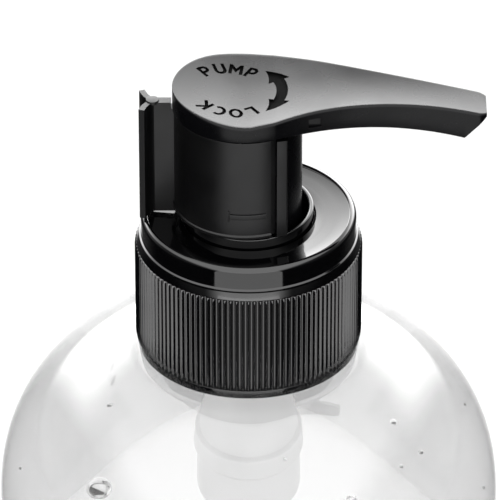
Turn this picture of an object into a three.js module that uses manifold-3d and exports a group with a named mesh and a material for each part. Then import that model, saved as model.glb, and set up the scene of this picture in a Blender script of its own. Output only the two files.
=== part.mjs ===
// A lotion pump on a round 500 ml bottle, as a mould maker would split it: millimetres, +Z up,
// origin at the centre of the bottle's foot, spout along +X.
import * as THREE from 'three';
import { mergeVertices } from 'three/addons/utils/BufferGeometryUtils.js';
import Module from 'manifold-3d';

const wasm = await Module();
wasm.setup();

// ---- driving dimensions ----

// Clearance between pieces that touch.
const GAP = 0.3;

// The bottle: a straight round body, a dome shoulder and a 28 mm screw neck.
const BOTTLE = { radius: 37, wall: 1, straightTop: 98, domeRise: 29.3, domeEnd: 66, domePower: 0.87, cornerRadius: 6,
  footInner: 26, pushUp: 3, shoulderTop: 125.3, neckRadius: 12.6, neckBore: 11,
  neckTop: 143.2 };

// The screw thread that the neck and the collar share, as a ridge of trapezoid section.
const THREAD = { pitch: 4.23, turns: 1.5, neckStart: 133, neckCrest: 13.7, collarCrest: 13,
  baseHalf: 1.1, crestHalf: 0.5, steps: 32 };

// The ribbed collar.
const COLLAR = { bottom: 126, skirtRadius: 16.3, ribRadius: 16.5, ribDepth: 0.42, ribs: 120,
  ribBottom: 127.3, ribTop: 142.9, bandRadius: 15.6, bandBottom: 144.4, lipRadius: 15.2, top: 147.9,
  deck: 147.5, deckUnderside: 146.2, hole: 9.75, threadBore: 14.1 };

// The boss ring (chaplet) that guides the stem, and the pump's cylinder under it.
const CHAPLET = { top: 148.85, outer: 9.4, bore: 8.7, floorTop: 131, bottom: 129, guide: 4.12 };
const HOUSING = { flangeTop: 145.9, flangeBottom: 144.7, flangeRadius: 12.7, cupOuter: 10.6,
  cupInner: 9.7, cupFloor: 128.7, ledge: 127.2, barrelRadius: 6.05, barrelBore: 4.9,
  beadRadius: 6.6, beadBottom: 101.5, beadTop: 104.5, barrelBottom: 99, springSeat: 96.9,
  cageRadius: 4.6, cageBore: 3.3, nibRadius: 2.1, nibTop: 96.9, nibBottom: 96.2, cageBottom: 91.8,
  seatHole: 1.7, seatBottom: 90.4, holderRadius: 4, holderBore: 2.95, holderBottom: 84 };
const GASKET = { outer: 13.4, inner: 10.8, bottom: 143.4, top: 144.4 };
const DIP_TUBE = { radius: 2.8, bore: 2, top: 90, bottom: 6, bevel: 3 };
const BALL = { radius: 2.4 };

// The moving column: piston, rod, stem and head. The clip blocks its stroke of 16 mm.
const PISTON = { radius: 4.82, top: 126, bottom: 121.6, waist: 4.3, bore: 2.75 };
const ROD = { flangeRadius: 4.1, flangeTop: 120.5, flangeBottom: 119.3, neckRadius: 2.5,
  tailRadius: 2, tailTop: 134, spigotRadius: 2.7, spigotBottom: 117 };
const STEM = { radius: 4, bore: 2.2, bottom: 126.9, top: 166 };
const SPRING = { wire: 0.7, coil: 3.75, turns: 7.5, steps: 12, sides: 6 };

// The head: a round cap that runs out into a spout, with a sleeve that hides the stem.
const HEAD = { centre: -0.55, radius: 10.35, top: 169.1, bottom: 165.7, edge: 0.4, dish: 0.9,
  dishWidth: 6, skin: 1.2, sleeveRadius: 7.7, sleeveBore: 6.5, sleeveBottom: 147.2,
  moatDepth: 1.6, hubRadius: 5.4,
  hubBottom: 157 };
const SPOUT = { root: 3.6, tip: 33.9, tipHalf: 3.2, taper: 2.11, topStart: 9, topArc: 97.6,
  underStart: 7, underArc: 80, channel: 1.2, cut: [[30.5, 162], [33.9, 165.5]] };

// The lock clip: a C sleeve round the head's sleeve, with a web and a Y-shaped finger pull.
const CLIP = { x: -0.6, y: 0.45, outer: 10.1, inner: 9, bottom: 149.2, top: 165.35, opening: 53,
  webBottom: 148.1, webHalf: 0.72, webEnd: -13, crestStart: -11, crestRise: 1,
  armThick: 0.85, armReach: 2.7, armLength: 1.65, padRadius: 0.95, padRise: 0.15 };

// ---- shape helpers ----

// The signed volume of a merged, indexed geometry, which is negative when its faces point inwards.
function signedVolume(vertices, triangles) {
  const [a, b, c] = [new THREE.Vector3(), new THREE.Vector3(), new THREE.Vector3()];
  let volume = 0;
  for (let i = 0; i < triangles.length; i += 3) {
    a.fromArray(vertices, 3 * triangles[i]);
    b.fromArray(vertices, 3 * triangles[i + 1]);
    c.fromArray(vertices, 3 * triangles[i + 2]);
    volume += a.dot(b.cross(c)) / 6;
  }
  return volume;
}

// A manifold solid from a closed geometry, turned the right way out.
function solid(geometry) {
  geometry.deleteAttribute('normal');
  geometry.deleteAttribute('uv');
  const merged = mergeVertices(geometry, 1e-4);
  const vertices = new Float32Array(merged.attributes.position.array);
  const corners = [];
  const index = merged.index.array;
  for (let i = 0; i < index.length; i += 3) {
    const [p, q, r] = [index[i], index[i + 1], index[i + 2]];
    if (p !== q && q !== r && r !== p) corners.push(p, q, r);
  }
  const triangles = new Uint32Array(corners);
  if (signedVolume(vertices, triangles) < 0) triangles.reverse();
  const shape = new wasm.Mesh({ numProp: 3, vertProperties: vertices, triVerts: triangles });
  return new wasm.Manifold(shape);
}

// A named mesh from a manifold solid.
function piece(name, shape, finish) {
  const { vertProperties, triVerts } = shape.getMesh();
  const geometry = new THREE.BufferGeometry();
  geometry.setAttribute('position', new THREE.BufferAttribute(new Float32Array(vertProperties), 3));
  geometry.setIndex(new THREE.BufferAttribute(new Uint32Array(triVerts), 1));
  geometry.computeVertexNormals();
  const mesh = new THREE.Mesh(geometry, finish);
  mesh.name = name;
  return mesh;
}

// A solid of revolution about Z from a profile of [radius, height] pairs.
function turned(profile, segments) {
  const points = profile.map(([radius, height]) => new THREE.Vector2(radius, height));
  return solid(new THREE.LatheGeometry(points, segments).rotateX(Math.PI / 2));
}

// A turned tube: a ring of rectangular section.
function tube(outer, inner, bottom, top, segments) {
  const section = [[inner, bottom], [outer, bottom], [outer, top], [inner, top], [inner, bottom]];
  return turned(section, segments);
}

// A turned rod.
function rod(radius, bottom, top, segments) {
  return turned([[0, bottom], [radius, bottom], [radius, top], [0, top]], segments);
}

// A box between two corners.
function block(low, high) {
  const size = high.map((value, i) => value - low[i]);
  const middle = high.map((value, i) => (value + low[i]) / 2);
  return solid(new THREE.BoxGeometry(...size).translate(...middle));
}

// A prism with the given plan outline between two heights.
function prism(outline, bottom, top, hole) {
  const shape = new THREE.Shape(outline.map(([x, y]) => new THREE.Vector2(x, y)));
  if (hole) shape.holes.push(new THREE.Path(hole.map(([x, y]) => new THREE.Vector2(x, y))));
  const geometry = new THREE.ExtrudeGeometry(shape, { depth: top - bottom, bevelEnabled: false });
  return solid(geometry.translate(0, 0, bottom));
}

// A closed skin over rings of [x, y, z] points that all have the same number of points.
function loft(rings) {
  const sides = rings[0].length;
  const middles = [rings[0], rings[rings.length - 1]].map((ring) => [0, 1, 2].map(
    (axis) => ring.reduce((sum, point) => sum + point[axis], 0) / sides));
  const positions = [...rings.flat(2), ...middles.flat()];
  const index = [];
  for (let i = 0; i + 1 < rings.length; i++) {
    for (let j = 0; j < sides; j++) {
      const [a, b] = [i * sides + j, i * sides + (j + 1) % sides];
      index.push(a, b, b + sides, a, b + sides, a + sides);
    }
  }
  const [first, last] = [rings.length * sides, rings.length * sides + 1];
  for (let j = 0; j < sides; j++) {
    const k = (j + 1) % sides;
    index.push(first, k, j, last, (rings.length - 1) * sides + j, (rings.length - 1) * sides + k);
  }
  const geometry = new THREE.BufferGeometry();
  geometry.setAttribute('position', new THREE.Float32BufferAttribute(positions, 3));
  geometry.setIndex(index);
  return solid(geometry);
}

// Points of an arc in a profile, from one angle to another, in degrees.
function arc(x, y, radiusX, radiusY, from, to, steps) {
  return Array.from({ length: steps + 1 }, (_, i) => {
    const angle = THREE.MathUtils.degToRad(from + (to - from) * i / steps);
    return [x + radiusX * Math.cos(angle), y + radiusY * Math.sin(angle)];
  });
}

// The outline of a strip of even thickness along a plane curve.
function ribbon(curve, thickness, steps) {
  const sides = [1, -1].map((side) => Array.from({ length: steps + 1 }, (_, i) => {
    const [point, along] = [curve.getPoint(i / steps), curve.getTangent(i / steps)];
    const shift = side * thickness / 2;
    return [point.x - along.y * shift, point.y + along.x * shift];
  }));
  return [...sides[0], ...sides[1].reverse()];
}

// A right-handed helical ridge of trapezoid section, from a buried base radius to a crest radius.
function threadRidge(base, crest, start, turns) {
  const count = Math.round(turns * THREAD.steps);
  const section = [[base, -THREAD.baseHalf], [crest, -THREAD.crestHalf],
    [crest, THREAD.crestHalf], [base, THREAD.baseHalf]];
  return loft(Array.from({ length: count + 1 }, (_, i) => {
    const angle = 2 * Math.PI * i / THREAD.steps;
    const height = start + THREAD.pitch * i / THREAD.steps;
    return section.map(([radius, rise]) => [
      radius * Math.cos(angle), radius * Math.sin(angle), height + rise]);
  }));
}

// ---- finishes ----

const blackPlastic = new THREE.MeshStandardMaterial({ color: 0x121213, roughness: 0.35 });
const glossBlack = new THREE.MeshStandardMaterial({ color: 0x0c0c0d, roughness: 0.15 });
const clearPet = new THREE.MeshStandardMaterial({ color: 0xf3f6f7, roughness: 0.05,
  transparent: true, opacity: 0.3 });
const milkyPlastic = new THREE.MeshStandardMaterial({ color: 0xe9ebeb, roughness: 0.4 });
const foam = new THREE.MeshStandardMaterial({ color: 0xf4f4f2, roughness: 0.9 });
const steel = new THREE.MeshStandardMaterial({ color: 0xb9bcc0, roughness: 0.25, metalness: 1 });

// ---- bottle ----

function makeBottle() {
  const { radius, wall, straightTop, domeRise, domeEnd, cornerRadius, neckRadius, neckBore } = BOTTLE;
  // the dome is a quarter ellipse drawn out a little towards a square, so that it runs in flat under the collar
  const dome = (inset) => arc(0, 0, 1, 1, 0, domeEnd, 8).map(([x, y]) =>
    [(radius - inset) * x ** BOTTLE.domePower, straightTop + (domeRise - inset) * y ** BOTTLE.domePower]);
  const innerCorner = cornerRadius - wall;
  const outside = [
    [0, BOTTLE.pushUp], [BOTTLE.footInner - 8, BOTTLE.pushUp], [BOTTLE.footInner, 0],
    ...arc(radius - cornerRadius, cornerRadius, cornerRadius, cornerRadius, -90, 0, 3),
    ...dome(0),
    [neckRadius + 2, BOTTLE.shoulderTop - 0.2], [neckRadius, BOTTLE.shoulderTop],
    [neckRadius, BOTTLE.neckTop]];
  const inside = [
    [neckBore, BOTTLE.neckTop], [neckBore, BOTTLE.shoulderTop - wall],
    ...dome(wall).reverse(),
    ...arc(radius - cornerRadius, cornerRadius, innerCorner, innerCorner, -90, 0, 3).reverse(),
    [BOTTLE.footInner, wall], [BOTTLE.footInner - 8, BOTTLE.pushUp + wall],
    [0, BOTTLE.pushUp + wall]];
  const thread = threadRidge(neckRadius - 0.4, THREAD.neckCrest, THREAD.neckStart, THREAD.turns);
  return turned([...outside, ...inside], 40).add(thread);
}

// ---- collar ----

// The rib band: V-shaped grooves all round, over a core circle.
function makeRibBand() {
  const points = Array.from({ length: 2 * COLLAR.ribs }, (_, i) => {
    const angle = Math.PI * i / COLLAR.ribs;
    const radius = COLLAR.ribRadius - (i % 2) * COLLAR.ribDepth;
    return [radius * Math.cos(angle), radius * Math.sin(angle)];
  });
  const core = arc(0, 0, COLLAR.ribRadius - 1.2, COLLAR.ribRadius - 1.2, 0, 351, 39);
  return prism(points, COLLAR.ribBottom, COLLAR.ribTop, core);
}

function makeCollar() {
  const { bottom, skirtRadius, ribBottom, ribTop, ribRadius, ribDepth, threadBore } = COLLAR;
  const root = ribRadius - ribDepth - 0.15;
  const shell = turned([
    [threadBore, bottom], [skirtRadius - 0.3, bottom], [skirtRadius, bottom + 0.3],
    [skirtRadius, ribBottom], [root, ribBottom], [root, ribTop], [skirtRadius, ribTop],
    [COLLAR.bandRadius, COLLAR.bandBottom], [COLLAR.bandRadius, COLLAR.top - 0.4],
    [COLLAR.lipRadius, COLLAR.top], [COLLAR.lipRadius - 0.5, COLLAR.deck], [COLLAR.hole, COLLAR.deck],
    [COLLAR.hole, COLLAR.deckUnderside], [threadBore, COLLAR.deckUnderside], [threadBore, bottom],
  ], 40);
  const start = THREAD.neckStart - THREAD.pitch / 2;
  const thread = threadRidge(threadBore + 0.4, THREAD.collarCrest, start, THREAD.turns);
  return shell.add(makeRibBand()).add(thread);
}

// ---- pump engine ----

function makeChaplet() {
  const { top, outer, bore, floorTop, bottom, guide } = CHAPLET;
  return turned([
    [guide, bottom], [outer, bottom], [outer, top - 0.25], [outer - 0.25, top], [bore + 0.1, top],
    [bore, top - 0.4], [bore, floorTop], [guide + 1, floorTop], [guide, floorTop - 0.6],
    [guide, bottom]], 32);
}

function makeHousing() {
  const h = HOUSING;
  return turned([
    [h.cupInner, h.flangeTop], [h.cupInner, h.cupFloor], [h.barrelBore, h.ledge],
    [h.barrelBore, h.springSeat], [h.nibRadius, h.nibTop], [h.nibRadius, h.nibBottom],
    [h.cageBore, h.nibBottom - 1.2], [h.cageBore, h.cageBottom + 1.2], [h.seatHole, h.cageBottom],
    [h.seatHole, h.seatBottom], [h.holderBore, h.seatBottom], [h.holderBore, h.holderBottom],
    [h.holderRadius, h.holderBottom], [h.holderRadius, h.cageBottom - 1.5],
    [h.cageRadius, h.cageBottom], [h.cageRadius, h.springSeat - 1.4],
    ...arc(h.cageRadius, h.barrelBottom, h.barrelRadius - h.cageRadius, 3, -90, 0, 3),
    [h.barrelRadius, h.beadBottom], [h.beadRadius, h.beadBottom + 0.6], [h.beadRadius, h.beadTop],
    [h.barrelRadius, h.beadTop + 0.4], [h.barrelRadius, h.ledge - 1.2], [h.cupOuter, h.cupFloor - 1.2],
    [h.cupOuter, h.flangeBottom], [h.flangeRadius, h.flangeBottom], [h.flangeRadius, h.flangeTop],
    [h.cupInner, h.flangeTop]], 32);
}

// The dip tube, cut to a bevel at its foot so that it can't seal itself on the bottle's base.
function makeDipTube() {
  const { radius, bore, top, bottom, bevel } = DIP_TUBE;
  const wedge = prism([[-radius - 1, -1], [radius + 1, -1], [radius + 1, bevel]], -radius - 1, radius + 1);
  const cutter = wedge.rotate([90, 0, 0]).translate([0, 0, bottom]);
  return tube(radius, bore, bottom, top, 16).subtract(cutter);
}

function makeBall() {
  const { cageBore, seatHole, cageBottom } = HOUSING;
  const slope = Math.atan2(1.2, cageBore - seatHole);
  // the ball's centre, where it clears the seat's cone by a hair
  const height = cageBottom - seatHole * Math.tan(slope) + (BALL.radius + 0.05) / Math.cos(slope);
  const half = arc(0, 0, BALL.radius, BALL.radius, -90, 90, 8);
  half[0][0] = 0;
  half[8][0] = 0;
  return turned(half, 16).translate([0, 0, height]);
}

// A compression spring with its end turns lying almost flat.
function makeSpring() {
  const { wire, coil, turns, steps, sides } = SPRING;
  const bottom = HOUSING.springSeat + GAP + wire / 2;
  const top = ROD.flangeBottom - GAP - wire / 2;
  const flat = 1.15 * wire;
  const count = turns * steps;
  return loft(Array.from({ length: count + 1 }, (_, i) => {
    const turn = i / steps;
    const middle = THREE.MathUtils.clamp((turn - 1) / (turns - 2), 0, 1);
    const ends = Math.min(turn, 1) + Math.max(turn - turns + 1, 0);
    const height = bottom + flat * ends + (top - bottom - 2 * flat) * middle;
    const angle = 2 * Math.PI * turn;
    return arc(coil, height, wire / 2, wire / 2, 0, 360 - 360 / sides, sides - 1).map(
      ([radius, z]) => [radius * Math.cos(angle), radius * Math.sin(angle), z]);
  }));
}

// ---- moving column ----

// The piston has a sealing lip at each end and a waist between them.
function makePiston() {
  const { radius, top, bottom, waist, bore } = PISTON;
  return turned([
    [bore, bottom], [radius - 0.5, bottom], [radius, bottom + 0.3], [radius, bottom + 0.9],
    [waist, bottom + 1.3], [waist, top - 1.3], [radius, top - 0.7], [radius, top - 0.2],
    [radius - 0.6, top], [bore, top], [bore, bottom]], 32);
}

// The rod plugs into the stem, and its flange closes the piston's ports and takes the spring.
function makeRod() {
  const { flangeRadius, flangeTop, flangeBottom, neckRadius, tailRadius, tailTop } = ROD;
  return turned([
    [0, ROD.spigotBottom], [ROD.spigotRadius - 0.4, ROD.spigotBottom],
    [ROD.spigotRadius, ROD.spigotBottom + 0.5], [ROD.spigotRadius, flangeBottom],
    [flangeRadius, flangeBottom], [flangeRadius, flangeTop], [neckRadius, flangeTop + 0.4],
    [neckRadius, PISTON.top], [tailRadius, PISTON.top + GAP], [tailRadius, tailTop],
    [0, tailTop + 0.6]], 24);
}

function makeStem() {
  const { radius, bore, bottom, top } = STEM;
  return turned([
    [bore, bottom], [radius - 0.3, bottom], [radius, bottom + 0.4], [radius, top - 0.5],
    [radius - 0.4, top], [bore, top], [bore, bottom]], 32);
}

// Half the head's width at x: a round cap, then a taper that leaves the circle without a corner.
function headHalfWidth(x) {
  const { centre, radius } = HEAD;
  const round = (at) => Math.sqrt(Math.max(radius ** 2 - (at - centre) ** 2, 0));
  if (x < SPOUT.root) return round(x);
  const left = 1 - (x - SPOUT.root) / (SPOUT.tip - SPOUT.root);
  return SPOUT.tipHalf + (round(SPOUT.root) - SPOUT.tipHalf) * left ** SPOUT.taper;
}

// The top of the head at x: dished for a finger over the stem, then an arc down to the tip.
function headTop(x) {
  const dish = HEAD.dish * Math.exp(-((x / HEAD.dishWidth) ** 2));
  return HEAD.top - dish - Math.max(x - SPOUT.topStart, 0) ** 2 / (2 * SPOUT.topArc);
}

// The underside at x: level under the cap, then an arc that follows the top.
function headBottom(x) {
  return HEAD.bottom - Math.max(x - SPOUT.underStart, 0) ** 2 / (2 * SPOUT.underArc);
}

// The rounded section of the head at x, as a ring of points.
function headSection(x) {
  const half = Math.max(headHalfWidth(x), 0.05);
  const [top, bottom] = [headTop(x), headBottom(x)];
  const round = Math.min(HEAD.edge, half * 0.7);
  const foot = Math.min(0.3, half * 0.3);
  const right = [[half - foot, bottom], [half, bottom + foot],
    ...arc(half - round, top - round, round, round, 0, 90, 3)];
  const left = right.map(([y, z]) => [-y, z]).reverse();
  return [...right, ...left].map(([y, z]) => [x, y, z]);
}

// The shell of the head before its hollows are cut.
function makeHeadBody() {
  const rear = arc(HEAD.centre, 0, HEAD.radius, 1, 180, 80, 9).map(([x]) => x);
  const first = SPOUT.root - 0.8;
  const front = Array.from({ length: 15 }, (_, i) => first + (SPOUT.tip - first) * i / 14);
  return loft([...rear, ...front].map(headSection));
}

// The round hollow under the cap, between its skirt and the sleeve.
function makeMoat() {
  const { centre, radius, skin, bottom, sleeveRadius } = HEAD;
  const depth = bottom + HEAD.moatDepth;
  return rod(radius - skin, bottom - 1, depth, 32).translate([centre, 0, 0])
    .subtract(rod(sleeveRadius, bottom - 2, depth + 1, 32))
    .intersect(block([-12, -12, 0], [SPOUT.root, 12, depth + 1]));
}

// The passage from the stem to the spout's mouth.
function makeChannel() {
  const path = new THREE.QuadraticBezierCurve3(
    new THREE.Vector3(0, 0, STEM.top + 0.2),
    new THREE.Vector3(SPOUT.tip / 2, 0, HEAD.top - 1.6),
    new THREE.Vector3(SPOUT.tip, 0, SPOUT.cut[0][1] + 2));
  const section = new THREE.Shape(arc(0, 0, SPOUT.channel, SPOUT.channel, 0, 324, 9).map(
    ([x, y]) => new THREE.Vector2(x, y)));
  const spout = solid(new THREE.ExtrudeGeometry(section, { steps: 6, extrudePath: path }));
  return spout.add(rod(STEM.bore, STEM.top, STEM.top + 1.2, 16));
}

function makeHead() {
  const { bottom, sleeveRadius, sleeveBore, sleeveBottom, hubRadius, hubBottom } = HEAD;
  const [foot, lip] = SPOUT.cut;
  const beyond = prism([foot, lip, [lip[0] + 9, lip[1]], [lip[0] + 9, foot[1] - 6],
    [foot[0] - 6, foot[1] - 6]], -9, 9).rotate([90, 0, 0]);
  return makeHeadBody()
    .add(rod(sleeveRadius, sleeveBottom, bottom + 1, 32))
    .subtract(tube(sleeveBore, hubRadius, sleeveBottom - 1, bottom + 0.6, 32))
    .subtract(rod(sleeveBore, sleeveBottom - 1, hubBottom, 32))
    .subtract(rod(STEM.radius + GAP / 2, hubBottom - 1, STEM.top + GAP, 24))
    .subtract(makeMoat())
    .subtract(makeChannel())
    .subtract(beyond);
}

// ---- lock clip ----

function makeClip() {
  const { x, y, outer, inner, bottom, top, opening, webBottom, webHalf, webEnd,
    padRadius } = CLIP;
  const sleeve = prism([...arc(0, 0, outer, outer, opening, 360 - opening, 24),
    ...arc(0, 0, inner, inner, opening, 360 - opening, 24).reverse()], bottom, top);
  const foot = prism([...arc(0, 0, outer + 0.25, outer + 0.25, opening, 360 - opening, 24),
    ...arc(0, 0, outer - 0.4, outer - 0.4, opening, 360 - opening, 24).reverse()], bottom, bottom + 0.5);
  const crest = top + CLIP.crestRise;
  const web = block([webEnd, -webHalf, webBottom], [-outer + 0.4, webHalf, top])
    .add(block([webEnd, -webHalf, top - 1], [CLIP.crestStart, webHalf, crest]));
  // each arm curls out from the web's end
  const arms = [1, -1].map((side) => {
    const line = new THREE.QuadraticBezierCurve(new THREE.Vector2(webEnd + 0.4, side * 0.2),
      new THREE.Vector2(webEnd - 1, side * 0.4),
      new THREE.Vector2(webEnd - CLIP.armLength, side * CLIP.armReach));
    return prism(ribbon(line, CLIP.armThick, 5), webBottom, crest);
  });
  const pad = rod(padRadius, crest - 0.3, crest + CLIP.padRise, 16).translate([webEnd - 0.1, 0, 0]);
  return sleeve.add(foot).add(web).add(arms[0]).add(arms[1]).add(pad).translate([x, y, 0]);
}

// ---- assembly ----

const gasket = tube(GASKET.outer, GASKET.inner, GASKET.bottom, GASKET.top, 32);
const dispenser = new THREE.Group();
dispenser.add(
  piece('bottle', makeBottle(), clearPet),
  piece('collar', makeCollar(), blackPlastic),
  piece('neck_gasket', gasket, foam),
  piece('chaplet', makeChaplet(), glossBlack),
  piece('housing', makeHousing(), milkyPlastic),
  piece('dip_tube', makeDipTube(), milkyPlastic),
  piece('inlet_ball', makeBall(), steel),
  piece('return_spring', makeSpring(), steel),
  piece('piston', makePiston(), milkyPlastic),
  piece('piston_rod', makeRod(), milkyPlastic),
  piece('stem', makeStem(), milkyPlastic),
  piece('actuator_head', makeHead(), blackPlastic),
  piece('lock_clip', makeClip(), blackPlastic),
);

export default dispenser;
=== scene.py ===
"""A lotion pump on a clear round bottle of hand soap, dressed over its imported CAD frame.

Every length is in millimetres until a mesh is made. The frame has +Z up the bottle, its spout along +X and its
origin at the middle of the bottle's foot.
"""

from __future__ import annotations

import logging
import math
from collections.abc import Sequence
from dataclasses import dataclass, field
from enum import Enum

import bmesh
import bpy
import numpy as np
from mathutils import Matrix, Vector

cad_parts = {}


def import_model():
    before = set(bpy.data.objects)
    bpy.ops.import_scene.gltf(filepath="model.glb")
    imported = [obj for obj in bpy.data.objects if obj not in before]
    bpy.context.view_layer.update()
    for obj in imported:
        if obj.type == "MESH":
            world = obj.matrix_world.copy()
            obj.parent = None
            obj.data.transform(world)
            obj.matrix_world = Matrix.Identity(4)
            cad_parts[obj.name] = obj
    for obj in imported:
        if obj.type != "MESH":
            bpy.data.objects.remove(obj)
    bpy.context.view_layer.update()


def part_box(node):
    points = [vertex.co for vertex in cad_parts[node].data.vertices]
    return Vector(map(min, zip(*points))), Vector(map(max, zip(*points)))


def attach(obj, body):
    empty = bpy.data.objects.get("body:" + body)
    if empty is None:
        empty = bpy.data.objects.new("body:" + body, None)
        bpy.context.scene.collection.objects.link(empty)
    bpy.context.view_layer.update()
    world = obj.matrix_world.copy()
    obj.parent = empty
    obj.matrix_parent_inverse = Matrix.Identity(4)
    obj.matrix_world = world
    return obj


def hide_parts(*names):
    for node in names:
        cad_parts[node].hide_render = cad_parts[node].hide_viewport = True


log = logging.getLogger("dispenser")

MM = 0.001
FULL_TURN = 2.0 * math.pi
WELD_DISTANCE = 1e-7  # metres within which points are one point
ARC_SHARE = 0.49  # the most of a side that the arc at one of its ends may take up
NOISE_SPAN = (0.3, 0.7)  # where nearly all of a noise texture's values lie
Grid = np.ndarray
Shell = tuple[np.ndarray, list[tuple[int, ...]]]
Corners = tuple[tuple[float, float, float], ...]


# ---- surfaces worked out on grids ----


def skin(grid: Grid, round_u: bool = False, round_v: bool = False) -> Shell:
    """Joins a grid of points to its neighbours with quads.

    Args:
        grid: points, as rows by columns by 3.
        round_u: whether the last row joins the first.
        round_v: whether the last column joins the first.

    Returns:
        The points as a flat array, and the faces as corner numbers.
    """
    rows, columns = grid.shape[:2]
    i = np.arange(rows if round_u else rows - 1)[:, None]
    j = np.arange(columns if round_v else columns - 1)[None, :]
    below, right = (i + 1) % rows, (j + 1) % columns
    corners = np.stack([i * columns + j, i * columns + right, below * columns + right, below * columns + j], -1)
    return grid.reshape(-1, 3), [tuple(face) for face in corners.reshape(-1, 4).tolist()]


def capped(grid: Grid) -> Shell:
    """Closes a tube of rings, each a row of the grid, with one flat face at each end.

    Args:
        grid: points, as rings by points by 3.

    Returns:
        The closed shell.
    """
    points, faces = skin(grid, round_v=True)
    rows, columns = grid.shape[:2]
    first = tuple(range(columns))
    last = tuple(range((rows - 1) * columns, rows * columns))
    return points, faces + [first[::-1], last]


def polar(radius: np.ndarray, angle: np.ndarray, height: np.ndarray) -> Grid:
    """Points from their radius, angle and height, each spread over the rows and columns of the others."""
    parts = np.broadcast_arrays(radius * np.cos(angle), radius * np.sin(angle), height)
    return np.stack(parts, -1)


def bend(start: np.ndarray, middle: np.ndarray, end: np.ndarray, count: int) -> np.ndarray:
    """Points of the quadratic curve from start to end whose end tangents meet at the middle."""
    t = np.linspace(0, 1, count)[:, None]
    return (1 - t) ** 2 * start + 2 * t * (1 - t) * middle + t**2 * end


def headings(line: np.ndarray) -> np.ndarray:
    """The unit direction of a line at each of its points."""
    along = np.gradient(line, axis=0)
    return along / np.linalg.norm(along, axis=1, keepdims=True)


def rounded(corners: Sequence[Sequence[float]], steps: int = 5, closed: bool = True) -> np.ndarray:
    """An outline whose corners are turned into arcs.

    Each corner's arc is the quadratic curve from one tangent point to the other, which for small corners lies
    within a hundredth of the radius of a true arc.

    Args:
        corners: (x, y, radius) for each corner; a radius of 0 keeps the corner sharp.
        steps: pieces in each arc.
        closed: whether the last corner joins the first.

    Returns:
        The outline's points, as rows of x and y.
    """
    points = []
    count = len(corners)
    for n, (x, y, radius) in enumerate(corners):
        here = np.array([x, y], float)
        if radius <= 0 or (not closed and n in (0, count - 1)):
            points.append(here[None])
            continue
        ways = [np.array(corners[(n + d) % count][:2], float) - here for d in (-1, 1)]
        sizes = [np.linalg.norm(way) for way in ways]
        cosine = float(np.clip(ways[0] @ ways[1] / (sizes[0] * sizes[1]), -0.999, 0.999))
        reach = min(radius / math.tan(math.acos(cosine) / 2), ARC_SHARE * min(sizes))
        start, end = (here + way / size * reach for way, size in zip(ways, sizes))
        points.append(bend(start, here, end, steps + 1))
    return np.concatenate(points)


def turned(profile: np.ndarray, segments: int, closed: bool = True) -> Shell:
    """A surface of revolution: each (radius, height) of the profile goes round the axis.

    Args:
        profile: rows of radius and height.
        segments: how many steps make the full turn.
        closed: whether the profile's end joins its start; otherwise both ends lie on the axis.

    Returns:
        The shell.
    """
    angle = np.linspace(0, FULL_TURN, segments, endpoint=False)
    return skin(polar(profile[:, :1], angle, profile[:, 1:]), round_u=closed, round_v=True)


def prism(outline: np.ndarray, bottom: float, top: float) -> Shell:
    """A plan outline raised from one height to another, with flat ends."""
    rings = [np.column_stack([outline, np.full(len(outline), z)]) for z in (bottom, top)]
    return capped(np.array(rings))


def carried(corners: Sequence[Sequence[float]], first_deg: float, last_deg: float, count: int) -> Shell:
    """A wall section carried round part of a circle, from one angle to another.

    Args:
        corners: radius, height and rounding of each of the section's corners.
        first_deg: the angle it starts from.
        last_deg: the angle it goes to.
        count: how many times the section is set down on the way.

    Returns:
        The wall, closed at both ends.
    """
    section = rounded(corners, steps=4)
    angle = np.radians(np.linspace(first_deg, last_deg, count))[:, None]
    return capped(polar(section[:, 0], angle, section[:, 1]))


def swept(path: np.ndarray, across: np.ndarray, up: np.ndarray, section: np.ndarray) -> Shell:
    """A section of (across, up) points carried along a path, with its two directions given at each point."""
    grid = path[:, None] + across[:, None] * section[None, :, :1] + up[:, None] * section[None, :, 1:]
    return capped(grid)


def ribbon(line: np.ndarray, half: float) -> np.ndarray:
    """The two edges of an even-width strip along a polyline, mitred at its corners.

    Args:
        line: the middle of the strip; a line that ends where it starts is taken as a loop.
        half: half of the strip's width.

    Returns:
        One row of points for each edge.
    """
    loop = np.allclose(line[0], line[-1])
    ways = np.diff(line, axis=0)
    ways /= np.linalg.norm(ways, axis=1, keepdims=True)
    before = np.vstack([ways[-1:] if loop else ways[:1], ways])
    after = np.vstack([ways, ways[:1] if loop else ways[-1:]])
    normal = np.column_stack([-(before + after)[:, 1], (before + after)[:, 0]])
    normal *= 2 / np.sum((before + after) ** 2, axis=1, keepdims=True)
    return np.array([line + half * normal, line - half * normal])


def arc_line(x: float, y: float, wide: float, high: float, first: float, last: float) -> list[tuple[float, float]]:
    """Points along part of an ellipse, from one angle to another in degrees."""
    angle = np.radians(np.linspace(first, last, max(3, int(abs(last - first) / 20) + 1)))
    return list(zip((x + wide * np.cos(angle)).tolist(), (y + high * np.sin(angle)).tolist()))


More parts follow.
